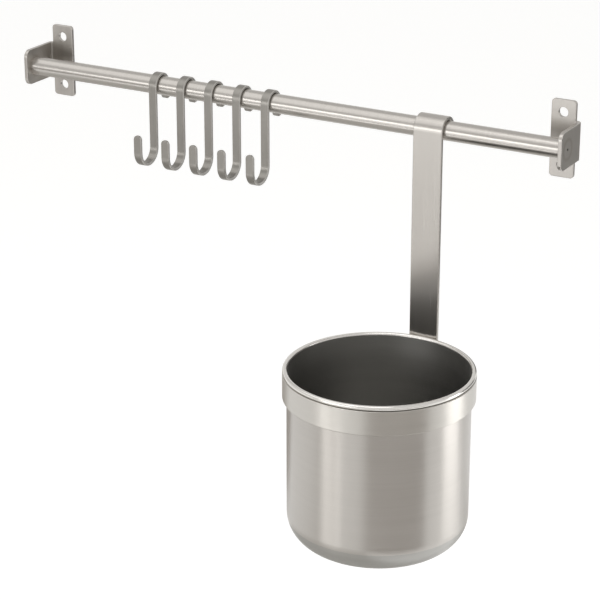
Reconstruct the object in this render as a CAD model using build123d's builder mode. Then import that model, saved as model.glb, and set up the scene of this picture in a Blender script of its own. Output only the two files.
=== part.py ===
"""Kitchen utensil rail: a round tube between two folded wall brackets, with five flat hooks
and a hanging utensil cup. Millimetres. X runs along the rail, +Y points into the wall, +Z is up.
The origin is the centre of the four screw holes, on the wall plane."""

import os

from build123d import *

os.makedirs("parts", exist_ok=True)

# Wall brackets, folded from sheet
overall_width = 400.0
bracket_sheet = 2.5
fold_inner_radius = 0.8
bracket_depth = 32.0
ear_height = 50.0
ear_inner_edge = 20.0
ear_outer_edge = 3.6
ear_corner_radius = 2.2
side_height = 24.5
side_corner_radius = 5.0
screw_hole_diameter = 6.5
screw_hole_inset = 12.0
screw_hole_spacing = 34.0
vent_diameter = 1.8
sheet_edge_radius = 0.4

# Rail tube
rail_diameter = 12.7
rail_wall = 1.0
rail_to_wall = 22.0

# Running gap between the rail and everything that hangs on it
rail_clearance = 0.3

# Flat hooks
hook_count = 5
hook_pitch = 21.7
first_hook_x = -96.0
hook_width = 6.0
hook_thickness = 2.0
hook_bend_height = -40.6
hook_bend_radius = 9.8
hook_tip_height = -28.4
hook_tab_height = -10.8
hook_tip_radius = 2.7
hook_tab_radius = 1.5
hook_edge_bevel = 0.4

# Container strap
strap_x = 109.3
strap_width = 20.0
strap_thickness = 2.5
strap_tab_height = -3.0
strap_corner_radius = 1.5
strap_edge_bevel = 0.4

# Container ring, bent from flat bar and welded to the strap
ring_height = 16.0
ring_thickness = 2.5
weld_width = 14.0
ring_edge_radius = 0.4

# Container cup, which rests in the ring by its rolled rim
cup_radius = 58.2
cup_wall = 0.6
cup_height = 118.3
cup_rim_height = -137.2
cup_corner_radius = 20.0
rim_roll_diameter = 3.2
rim_roll_turn = 285.0
cup_ring_gap = 0.2

# Places worked out from the sizes above
half_width = overall_width / 2
rail_axis = Vector(0, -rail_to_wall, 0)
rail_radius = rail_diameter / 2
screw_x = half_width - screw_hole_inset
strap_face_y = -rail_to_wall - rail_radius - rail_clearance - strap_thickness
ring_outer_radius = cup_radius + cup_ring_gap + ring_thickness
ring_top = cup_rim_height - rim_roll_diameter
ring_bottom = ring_top - ring_height
cup_centre_y = strap_face_y - ring_outer_radius

# Wall bracket: one sheet, with the side plate folded forward from the middle of the outer edge
with BuildPart() as bracket:
    fold_outer_radius = fold_inner_radius + bracket_sheet
    with BuildSketch(Plane.XY.offset(-side_height / 2)) as fold_section:
        with BuildLine() as fold_outline:
            back = Line((half_width - ear_inner_edge, 0), (half_width - fold_outer_radius, 0))
            outer_bend = TangentArc(back @ 1, (half_width, -fold_outer_radius), tangent=back % 1)
            outer_face = Line(outer_bend @ 1, (half_width, -bracket_depth))
            front_edge = Line(outer_face @ 1, (half_width - bracket_sheet, -bracket_depth))
            inner_face = Line(front_edge @ 1, (half_width - bracket_sheet, -fold_outer_radius))
            inner_bend = TangentArc(
                inner_face @ 1, (half_width - fold_outer_radius, -bracket_sheet), tangent=inner_face % 1
            )
            front = Line(inner_bend @ 1, (half_width - ear_inner_edge, -bracket_sheet))
            Line(front @ 1, back @ 0)
        make_face()
    extrude(amount=side_height)
    front_corners = bracket.edges().filter_by(Axis.X).group_by(Axis.Y)[0]
    fillet(front_corners, side_corner_radius)

    ear_centre_x = half_width - (ear_inner_edge + ear_outer_edge) / 2
    with BuildSketch(Plane.XZ) as ear_section:
        with Locations((ear_centre_x, 0)):
            RectangleRounded(ear_inner_edge - ear_outer_edge, ear_height, ear_corner_radius)
    extrude(amount=bracket_sheet)

    side_faces = bracket.faces().filter_by(Axis.X).sort_by(SortBy.AREA)[-2:]
    side_outline = side_faces.edges().filter_by(lambda edge: edge.center().Y < -fold_outer_radius - bracket_sheet)
    fillet(side_outline, sheet_edge_radius)
    wall_faces = bracket.faces().filter_by(Axis.Y).sort_by(SortBy.AREA)[-2:]
    ear_outline = wall_faces.edges().filter_by(lambda edge: abs(edge.center().Z) > side_height / 2 + bracket_sheet)
    fillet(ear_outline, sheet_edge_radius)

    with Locations(Plane.XZ):
        with Locations((screw_x, screw_hole_spacing / 2), (screw_x, -screw_hole_spacing / 2)):
            Hole(screw_hole_diameter / 2)
    with Locations(Plane.YZ.offset(half_width)):
        with Locations((rail_axis.Y, rail_axis.Z)):
            Hole(vent_diameter / 2, depth=bracket_sheet)

for name, mirrored in (("right_bracket", False), ("left_bracket", True)):
    with BuildPart() as side_bracket:
        add(mirror(bracket.part, about=Plane.YZ) if mirrored else bracket.part)
    side_bracket.part.label = name
    export_step(side_bracket.part, f"parts/{name}.step")

# Rail tube, butted and welded to the inner faces of the side plates
with BuildPart() as rail_tube:
    rail_half_length = half_width - bracket_sheet
    with BuildSketch(Plane.YZ.offset(-rail_half_length)) as rail_section:
        with Locations((rail_axis.Y, rail_axis.Z)):
            Circle(rail_radius)
            Circle(rail_radius - rail_wall, mode=Mode.SUBTRACT)
    extrude(amount=2 * rail_half_length)
rail_tube.part.label = "rail_tube"
export_step(rail_tube.part, "parts/rail_tube.step")

# Flat hooks: over the rail, down in front of it, and forward and up into a round-ended tip
hook_loop_radius = rail_radius + rail_clearance + hook_thickness / 2
hook_front_y = -rail_to_wall - hook_loop_radius
for index in range(hook_count):
    hook_x = first_hook_x + index * hook_pitch
    with BuildPart() as hook:
        with BuildSketch(Plane.YZ.offset(hook_x - hook_width / 2)) as hook_section:
            with BuildLine() as hook_path:
                rear_y = hook_loop_radius - rail_to_wall
                Line((rear_y, hook_tab_height), (rear_y, rail_axis.Z))
                CenterArc((rail_axis.Y, rail_axis.Z), hook_loop_radius, 0, 180)
                Line((hook_front_y, rail_axis.Z), (hook_front_y, hook_bend_height))
                CenterArc((hook_front_y - hook_bend_radius, hook_bend_height), hook_bend_radius, 0, -180)
                tip_y = hook_front_y - 2 * hook_bend_radius
                Line((tip_y, hook_bend_height), (tip_y, hook_tip_height))
            trace(line_width=hook_thickness)
        extrude(amount=hook_width)
        across = hook.edges().filter_by(Axis.Y)
        tip_corners = across.group_by(Axis.Y)[0]
        tab_corners = across.group_by(Axis.Y)[-1]
        fillet(tip_corners, hook_tip_radius)
        fillet(tab_corners, hook_tab_radius)
        chamfer(hook.faces().filter_by(Axis.X).edges(), hook_edge_bevel)
    hook.part.label = f"hook_{index + 1}"
    export_step(hook.part, f"parts/hook_{index + 1}.step")

# Container strap: over the rail and straight down to the ring
strap_loop_radius = rail_radius + rail_clearance + strap_thickness / 2
with BuildPart() as container_strap:
    with BuildSketch(Plane.YZ.offset(strap_x - strap_width / 2)) as strap_section:
        with BuildLine() as strap_path:
            rear_y = strap_loop_radius - rail_to_wall
            Line((rear_y, strap_tab_height), (rear_y, rail_axis.Z))
            CenterArc((rail_axis.Y, rail_axis.Z), strap_loop_radius, 0, 180)
            front_y = -rail_to_wall - strap_loop_radius
            Line((front_y, rail_axis.Z), (front_y, ring_bottom))
        trace(line_width=strap_thickness)
    extrude(amount=strap_width)
    strap_ends = container_strap.edges().filter_by(Axis.Y)
    fillet(strap_ends, strap_corner_radius)
    chamfer(container_strap.faces().filter_by(Axis.X).edges(), strap_edge_bevel)
container_strap.part.label = "container_strap"
export_step(container_strap.part, "parts/container_strap.step")

# Container ring, with the weld that fills the wedge between it and the strap
with BuildPart() as container_ring:
    with BuildSketch(Plane.XY.offset(ring_bottom)) as ring_section:
        with Locations((strap_x, cup_centre_y)):
            Circle(ring_outer_radius)
            Circle(cup_radius + cup_ring_gap, mode=Mode.SUBTRACT)
    extrude(amount=ring_height)
    fillet(container_ring.edges().filter_by(GeomType.CIRCLE), ring_edge_radius)
    with BuildSketch(Plane.XY.offset(ring_bottom + ring_edge_radius)) as weld_section:
        with Locations((strap_x, strap_face_y)):
            Rectangle(weld_width, ring_thickness, align=(Align.CENTER, Align.MAX))
        with Locations((strap_x, cup_centre_y)):
            Circle(ring_outer_radius - ring_thickness / 2, mode=Mode.SUBTRACT)
    extrude(amount=ring_height - 2 * ring_edge_radius)
container_ring.part.label = "container_ring"
export_step(container_ring.part, "parts/container_ring.step")

# Container cup: one sheet, drawn with a round corner at the foot and a rim rolled outward
with BuildPart() as container_cup:
    wall_radius = cup_radius - cup_wall / 2
    floor_z = cup_rim_height - cup_height + cup_wall / 2
    roll_radius = (rim_roll_diameter - cup_wall) / 2
    roll_z = cup_rim_height - rim_roll_diameter / 2
    bend_radius = cup_corner_radius - cup_wall / 2
    with BuildSketch(Plane.XZ) as cup_section:
        with BuildLine() as cup_path:
            Line((0, floor_z), (wall_radius - bend_radius, floor_z))
            CenterArc((wall_radius - bend_radius, floor_z + bend_radius), bend_radius, -90, 90)
            Line((wall_radius, floor_z + bend_radius), (wall_radius, roll_z))
            CenterArc((wall_radius + roll_radius, roll_z), roll_radius, 180, -rim_roll_turn)
        trace(line_width=cup_wall)
    revolve(axis=Axis.Z)
container_cup.part = container_cup.part.moved(Location((strap_x, cup_centre_y, 0)))
container_cup.part.label = "container_cup"
export_step(container_cup.part, "parts/container_cup.step")
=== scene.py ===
"""Looks of the kitchen utensil rail: brushed stainless steel in six finishes, over a pale studio floor.
Metres. X runs along the rail, +Y points into the wall, +Z is up, and the rail's axis is at z = 0."""

import math

import bmesh
import bpy
from mathutils import Matrix, Quaternion, Vector


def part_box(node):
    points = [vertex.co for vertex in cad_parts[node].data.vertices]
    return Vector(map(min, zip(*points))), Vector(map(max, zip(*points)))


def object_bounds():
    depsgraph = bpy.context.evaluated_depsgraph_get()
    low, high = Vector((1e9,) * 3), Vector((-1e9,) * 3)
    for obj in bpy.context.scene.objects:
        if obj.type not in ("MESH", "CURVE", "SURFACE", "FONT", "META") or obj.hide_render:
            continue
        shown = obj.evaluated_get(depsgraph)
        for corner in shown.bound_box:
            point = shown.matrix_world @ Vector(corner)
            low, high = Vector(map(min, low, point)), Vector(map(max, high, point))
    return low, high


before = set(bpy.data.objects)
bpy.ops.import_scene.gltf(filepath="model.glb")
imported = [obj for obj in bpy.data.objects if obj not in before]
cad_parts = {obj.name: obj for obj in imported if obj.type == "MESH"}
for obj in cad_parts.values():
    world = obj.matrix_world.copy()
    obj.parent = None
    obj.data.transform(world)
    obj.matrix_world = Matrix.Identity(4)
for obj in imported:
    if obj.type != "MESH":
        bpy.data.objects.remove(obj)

cad_low, cad_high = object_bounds()

# Camera, at the photograph's viewing angle in degrees
view_azimuth = 29.5
view_elevation = 21.3
view_distance = 1.40
view_aim = Vector((0.0422, -0.0742, -0.1108))
lens_mm = 131.0
sensor_mm = 36.0

# Studio: a floor well below the object, and a pale sky that is dimmer above than at the horizon
floor_level = cad_low.z - 0.60
floor_width = 80.0
floor_colour = (0.915, 0.92, 0.925, 1.0)
floor_lift = 0.25
panel_roughness = 0.9
sky_tint = (1.0, 0.99, 0.97, 1.0)
sky_at_horizon = 0.98
sky_above = 0.78
sky_dim_from = 0.35

# Cards that only the steel sees, from the palest grey to the deepest
under_grey = (0.66, 0.65, 0.63, 1.0)
card_grey = (0.430, 0.402, 0.372, 1.0)
front_grey = (0.352, 0.318, 0.290, 1.0)
wall_grey = (0.22, 0.215, 0.205, 1.0)
deep_grey = (0.120, 0.117, 0.112, 1.0)
card_above_floor = 0.01

# Places on the object that a finish follows
rail_low, rail_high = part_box("rail_tube")
rail_y = (rail_low.y + rail_high.y) / 2
rail_radius = (rail_high.z - rail_low.z) / 2
cup_low, cup_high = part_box("container_cup")
cup_x = (cup_low.x + cup_high.x) / 2
cup_y = (cup_low.y + cup_high.y) / 2
cup_wall = 0.0006
cup_radius = 0.0582
rim_roll = 0.0032

# Stainless steel, warm grey: each finish runs from its dark colour to its light one
steel_light = (0.522, 0.499, 0.471, 1.0)
steel_dark = (0.442, 0.421, 0.395, 1.0)
hook_light = (0.315, 0.302, 0.281, 1.0)
hook_dark = (0.246, 0.235, 0.217, 1.0)
# Painted highlight: the colour of the hooks' side faces, along X, lighter than their brushed faces
hook_side_highlight = (0.520, 0.505, 0.480, 1.0)
ring_light = (0.570, 0.550, 0.517, 1.0)
ring_dark = (0.502, 0.483, 0.451, 1.0)
# Painted shade: the cup's inside, a darker copy of its steel
painted_shade_inside_light = (0.440, 0.433, 0.415, 1.0)
painted_shade_inside_dark = (0.385, 0.378, 0.360, 1.0)
# Painted highlight: the rolled rim's colour, lighter than the steel's
rim_painted_highlight = (0.740, 0.721, 0.693, 1.0)

# Brushing: fine grain and broader streaks share the tone, which scores the steel and roughens it
grain_share = 0.55
streak_share = 0.45
score_height = 0.00003
full_score = 0.15
strap_score = 0.04
roughness_by_score = 0.67

# Darker ring round the rail's welds, partly the weld's mark and partly painted shade where the tube meets
# the plate: its colour, its reach from the tube's wall and its share
weld_and_shade_tint = (0.330, 0.290, 0.245, 1.0)
weld_and_shade_reach = 0.0018
weld_and_shade_share = 0.5

# Cup: lines per metre across it and along its sheet, how far down its rim is polished and carries a
# painted highlight, and its roughness
cup_fine = (14.0, 14.0, 2600.0)
cup_broad = (9.0, 9.0, 260.0)
polish_and_highlight_outside = rim_roll * 0.95
polish_and_highlight_inside = rim_roll * 0.55
cup_roughness = 0.25
cup_roughness_by_tone = 0.10
inside_extra_roughness = 0.06
rim_less_roughness = 0.08
cup_anisotropy = 0.6
cup_grain_turn = 0.25


class Wire:
    """The output of a node. Arithmetic and comparisons on wires and numbers add Math nodes."""

    def __init__(self, finish, socket):
        self.finish = finish
        self.socket = socket

    def math(self, operation, *others):
        values = dict(enumerate((self, *others)))
        return self.finish.node("ShaderNodeMath", values, operation=operation)

    def __add__(self, other):
        return self.math("ADD", other)

    __radd__ = __add__

    def __mul__(self, other):
        return self.math("MULTIPLY", other)

    __rmul__ = __mul__

    def __sub__(self, other):
        return self.math("SUBTRACT", other)

    def __rsub__(self, other):
        return self * -1.0 + other

    def __lt__(self, other):
        return self.math("LESS_THAN", other)

    def __gt__(self, other):
        return self.math("GREATER_THAN", other)


class Finish:
    """The nodes of a material or of the sky, and the one way in which they are made."""

    mix_share, mix_first, mix_second, mix_result = 0, 6, 7, 2

    def __init__(self, owner):
        owner.use_nodes = True
        self.owner = owner
        self.tree = owner.node_tree
        self.tree.nodes.clear()

    def node(self, kind, values=None, output=0, **settings):
        """Adds a node of that kind: its settings, then its sockets' values or wires."""
        made = self.tree.nodes.new(kind)
        for setting, choice in settings.items():
            setattr(made, setting, choice)
        for socket, value in (values or {}).items():
            if isinstance(value, Wire):
                self.tree.links.new(value.socket, made.inputs[socket])
            else:
                made.inputs[socket].default_value = value
        return Wire(self, made.outputs[output]) if made.outputs else None

    def place(self):
        """The point on the object, in metres."""
        return self.node("ShaderNodeTexCoord", output="Object")

    def axes(self, point):
        """The three coordinates of a point."""
        return [self.node("ShaderNodeSeparateXYZ", {0: point}, output=axis) for axis in "XYZ"]

    def noise(self, point, lines, detail):
        """Soft lines from 0 to 1, so many to the metre along X, Y and Z."""
        stretched = self.node("ShaderNodeMapping", {"Vector": point, "Scale": lines})
        values = {"Vector": stretched, "Scale": 1.0, "Detail": detail, "Roughness": 0.5}
        return self.node("ShaderNodeTexNoise", values, output="Fac")

    def brushing(self, point, fine, broad):
        """The tone of brushed steel, from 0 to 1."""
        return self.noise(point, fine, 3.0) * grain_share + self.noise(point, broad, 2.0) * streak_share

    def scored(self, tone, score):
        """The normal of steel that its brushing scores."""
        return self.node("ShaderNodeBump", {"Strength": score, "Distance": score_height, "Height": tone})

    def blend(self, share, first, second):
        """A colour between two colours."""
        values = {self.mix_share: share, self.mix_first: first, self.mix_second: second}
        return self.node("ShaderNodeMix", values, self.mix_result, data_type="RGBA")

    def surface(self, shader):
        self.node("ShaderNodeOutputMaterial", {"Surface": shader})
        return self.owner


def satin_steel(
    name, fine, broad, roughness,
    light=steel_light, dark=steel_dark, score=full_score, side_highlight=None, weld_and_shade_ring=None,
):
    """Steel brushed along straight lines, fine and broad, so many to the metre along X, Y and Z.

    A deeper score shows the lines more in relief and in gloss.
    The side faces of a bent bar, which face along X, can be painted lighter than its brushed faces: a
    painted highlight.
    A plate that the rail is welded to is darkened in a ring where the tube meets it, partly the weld's
    mark and partly painted shade.
    """
    finish = Finish(bpy.data.materials.new(name))
    point = finish.place()
    tone = finish.brushing(point, fine, broad)
    colour = finish.blend(tone, dark, light)
    # Painted highlight: faces that face along X get a lighter colour
    if side_highlight:
        facing_x = finish.axes(finish.node("ShaderNodeTexCoord", output="Normal"))[0].math("ABSOLUTE")
        colour = finish.blend(facing_x > 0.5, colour, side_highlight)
    # Darker ring round the tube's end: partly the weld's mark, partly painted shade where the tube meets
    # the plate
    if weld_and_shade_ring:
        y, z = finish.axes(point)[1:]
        off_y = y - rail_y
        radius = (off_y * off_y + z * z).math("SQRT")
        ring = 1.0 - (radius - rail_radius).math("ABSOLUTE") * (1.0 / weld_and_shade_reach)
        colour = finish.blend(ring.math("MAXIMUM", 0.0) * weld_and_shade_share, colour, weld_and_shade_ring)
    shader = finish.node("ShaderNodeBsdfPrincipled", {
        "Base Color": colour,
        "Metallic": 1.0,
        "Roughness": roughness + (tone - 0.5) * (score * roughness_by_score),
        "Normal": finish.scored(tone, score),
    })
    return finish.surface(shader)


def cup_steel():
    """The cup: brushed round its axis outside, duller inside with painted shade, and polished on its
    rolled rim with a painted highlight.
    """
    finish = Finish(bpy.data.materials.new("cup_steel"))
    x, y, z = finish.axes(finish.place())
    off_x = x - cup_x
    off_y = y - cup_y
    radius = (off_x * off_x + off_y * off_y).math("SQRT")
    inside = (radius < cup_radius - cup_wall / 2) * (z > cup_low.z + cup_wall / 2)
    # The rolled rim: polished, and painted lighter as a painted highlight
    rim = z > cup_high.z - polish_and_highlight_outside + inside * (polish_and_highlight_outside - polish_and_highlight_inside)
    along_sheet = finish.node("ShaderNodeCombineXYZ", {"X": off_x, "Y": off_y, "Z": z + radius})
    tone = finish.brushing(along_sheet, cup_fine, cup_broad)
    outside_colour = finish.blend(tone, steel_dark, steel_light)
    # Painted shade: the inside's colour is darker than the outside's
    painted_shade_inside_colour = finish.blend(tone, painted_shade_inside_dark, painted_shade_inside_light)
    body_colour = finish.blend(inside, outside_colour, painted_shade_inside_colour)
    body_roughness = cup_roughness + tone * cup_roughness_by_tone + inside * inside_extra_roughness
    shader = finish.node("ShaderNodeBsdfPrincipled", {
        "Base Color": finish.blend(rim, body_colour, rim_painted_highlight),
        "Metallic": 1.0,
        "Roughness": body_roughness - rim * rim_less_roughness,
        "Anisotropic": cup_anisotropy,
        "Anisotropic Rotation": cup_grain_turn,
        "Normal": finish.scored(tone, full_score),
    })
    return finish.surface(shader)


def dress(node, material):
    """Gives a CAD node its finish."""
    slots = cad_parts[node].data.materials
    slots.clear()
    slots.append(material)


def outward(azimuth, elevation):
    """The direction away from the object, in degrees. Azimuth 0 is in front and 90 at the +X end."""
    turn, rise = math.radians(azimuth), math.radians(elevation)
    return Vector((math.sin(turn) * math.cos(rise), -math.cos(turn) * math.cos(rise), math.sin(rise)))


def facing_object(azimuth, elevation, distance):
    """A place round the object, and the turn that faces its middle."""
    back = outward(azimuth, elevation)
    return (cad_low + cad_high) / 2 + back * distance, back.to_track_quat("Z", "Y")


def on_floor(x, y, turn):
    """A place just above the floor, and a turn in degrees about the upright."""
    return Vector((x, y, floor_level + card_above_floor)), Quaternion((0.0, 0.0, 1.0), math.radians(turn))


def flat_panel(name, place, turn, width, height, colour, lift=0.0):
    """A matt panel of the studio, lifted towards white where the camera or the steel sees it."""
    finish = Finish(bpy.data.materials.new(name))
    rays = [
        finish.node("ShaderNodeLightPath", output=kind)
        for kind in ("Is Camera Ray", "Is Glossy Ray", "Is Transmission Ray")
    ]
    seen = rays[0].math("MAXIMUM", rays[1]).math("MAXIMUM", rays[2])
    shader = finish.node("ShaderNodeBsdfPrincipled", {
        "Base Color": colour,
        "Roughness": panel_roughness,
        "Emission Color": finish.blend(seen, (0.0, 0.0, 0.0, 1.0), (lift, lift, lift, 1.0)),
        "Emission Strength": 1.0,
    })
    shape = bmesh.new()
    across = Matrix.LocRotScale(place, turn, Vector((width, height, 1.0)))
    bmesh.ops.create_grid(shape, x_segments=1, y_segments=1, size=0.5, matrix=across)
    mesh = bpy.data.meshes.new(name)
    shape.to_mesh(mesh)
    shape.free()
    mesh.materials.append(finish.surface(shader))
    panel = bpy.data.objects.new(name, mesh)
    bpy.context.scene.collection.objects.link(panel)
    return panel


def grey_card(name, place, turn, width, height, colour):
    """A card that only the steel sees, in which it reflects something darker than the floor."""
    card = flat_panel(name, place, turn, width, height, colour)
    card.visible_camera = False
    card.visible_shadow = False
    card.visible_diffuse = False


def softbox(name, place, turn, width, height, glow):
    """A soft light. Its glow is what a mirror shows of it, at any size, where 1 is white."""
    light = bpy.data.lights.new(name, "AREA")
    light.shape = "RECTANGLE"
    light.size = width
    light.size_y = height
    light.energy = glow * math.pi * width * height
    lamp = bpy.data.objects.new(name, light)
    lamp.location = place
    lamp.rotation_mode = "QUATERNION"
    lamp.rotation_quaternion = turn
    lamp.visible_camera = False
    bpy.context.scene.collection.objects.link(lamp)


def build_sky():
    world = bpy.data.worlds.new("studio")
    bpy.context.scene.world = world
    finish = Finish(world)
    height = finish.axes(finish.node("ShaderNodeTexCoord", output="Generated"))[2]
    strength = finish.node("ShaderNodeMapRange", {
        "Value": height,
        "From Min": 0.0,
        "From Max": sky_dim_from,
        "To Min": sky_at_horizon,
        "To Max": sky_above,
    }, interpolation_type="SMOOTHSTEP")
    sky = finish.node("ShaderNodeBackground", {"Color": sky_tint, "Strength": strength})
    finish.node("ShaderNodeOutputWorld", {"Surface": sky})


def build_camera():
    back = outward(view_azimuth, view_elevation)
    camera = bpy.data.objects.new("camera", bpy.data.cameras.new("camera"))
    camera.data.lens = lens_mm
    camera.data.sensor_width = sensor_mm
    camera.location = view_aim + back * view_distance
    camera.rotation_mode = "QUATERNION"
    camera.rotation_quaternion = back.to_track_quat("Z", "Y")
    bpy.context.scene.collection.objects.link(camera)
    bpy.context.scene.camera = camera


# Finishes: fine and broad lines per metre along X, Y and Z, then the roughness
rail_finish = satin_steel("rail_steel", (2400.0, 60.0, 60.0), (240.0, 30.0, 30.0), 0.25)
bracket_finish = satin_steel(
    "bracket_steel", (2200.0, 2200.0, 40.0), (300.0, 300.0, 20.0), 0.31,
    weld_and_shade_ring=weld_and_shade_tint,
)
hook_finish = satin_steel(
    "hook_steel", (2600.0, 60.0, 60.0), (600.0, 40.0, 40.0), 0.35,
    light=hook_light, dark=hook_dark, side_highlight=hook_side_highlight,
)
strap_finish = satin_steel(
    "strap_steel", (2200.0, 40.0, 40.0), (260.0, 16.0, 16.0), 0.27,
    score=strap_score,
)
ring_finish = satin_steel(
    "ring_steel", (14.0, 14.0, 2600.0), (9.0, 9.0, 300.0), 0.31,
    light=ring_light, dark=ring_dark,
)
cup_finish = cup_steel()

dress("rail_tube", rail_finish)
dress("left_bracket", bracket_finish)
dress("right_bracket", bracket_finish)
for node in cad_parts:
    if node.startswith("hook_"):
        dress(node, hook_finish)
dress("container_strap", strap_finish)
dress("container_ring", ring_finish)
dress("container_cup", cup_finish)

flat_panel(
    "studio_floor", Vector((0.0, 0.0, floor_level)), Quaternion(), floor_width, floor_width,
    floor_colour, floor_lift,
)
build_sky()

# Soft lights: where each stands (azimuth, elevation, distance), then its width, height and glow
softbox("strap_softbox", *facing_object(-19.5, -6.2, 1.42), 0.42, 0.46, 0.60)
softbox("low_softbox", *facing_object(-28.0, -25.8, 1.48), 0.62, 0.18, 2.0)
softbox("horizon_strip", *facing_object(-17.5, 9.3, 1.50), 1.20, 0.26, 2.8)
softbox("upper_left_softbox", *facing_object(-60.0, 58.0, 1.70), 1.60, 1.20, 0.60)
softbox("upper_front_softbox", *facing_object(12.0, 74.0, 1.70), 1.00, 0.55, 1.7)
softbox("right_softbox", *facing_object(123.0, -7.0, 1.30), 0.60, 0.84, 2.0)

# Grey cards: where each stands, or lies on the floor (x, y, turn), then its width and height
grey_card("left_card", *facing_object(-41.0, -11.0, 1.80), 0.46, 0.44, front_grey)
grey_card("strap_card", *facing_object(-23.0, -23.1, 1.40), 0.24, 0.14, card_grey)
grey_card("strap_mid_card", *facing_object(-23.0, -18.5, 1.40), 0.44, 0.11, front_grey)
grey_card("front_card", *facing_object(51.0, -24.0, 1.52), 1.86, 0.27, front_grey)
grey_card("ground_card", *on_floor(0.93, -0.83, 51.0), 1.70, 0.50, front_grey)
grey_card("back_card", *facing_object(167.0, -39.0, 0.982), 0.35, 0.28, under_grey)
grey_card("side_card", *facing_object(-135.0, -22.0, 1.00), 0.80, 0.40, card_grey)
grey_card("wall_card", *facing_object(136.5, -2.5, 0.58), 0.36, 0.30, wall_grey)
grey_card("inner_card", *facing_object(172.0, -1.3, 0.43), 0.20, 0.20, deep_grey)
grey_card("under_card", *on_floor(-0.32, -0.32, 0.0), 1.20, 1.50, under_grey)

build_camera()
bpy.context.scene.view_settings.view_transform = "Standard"
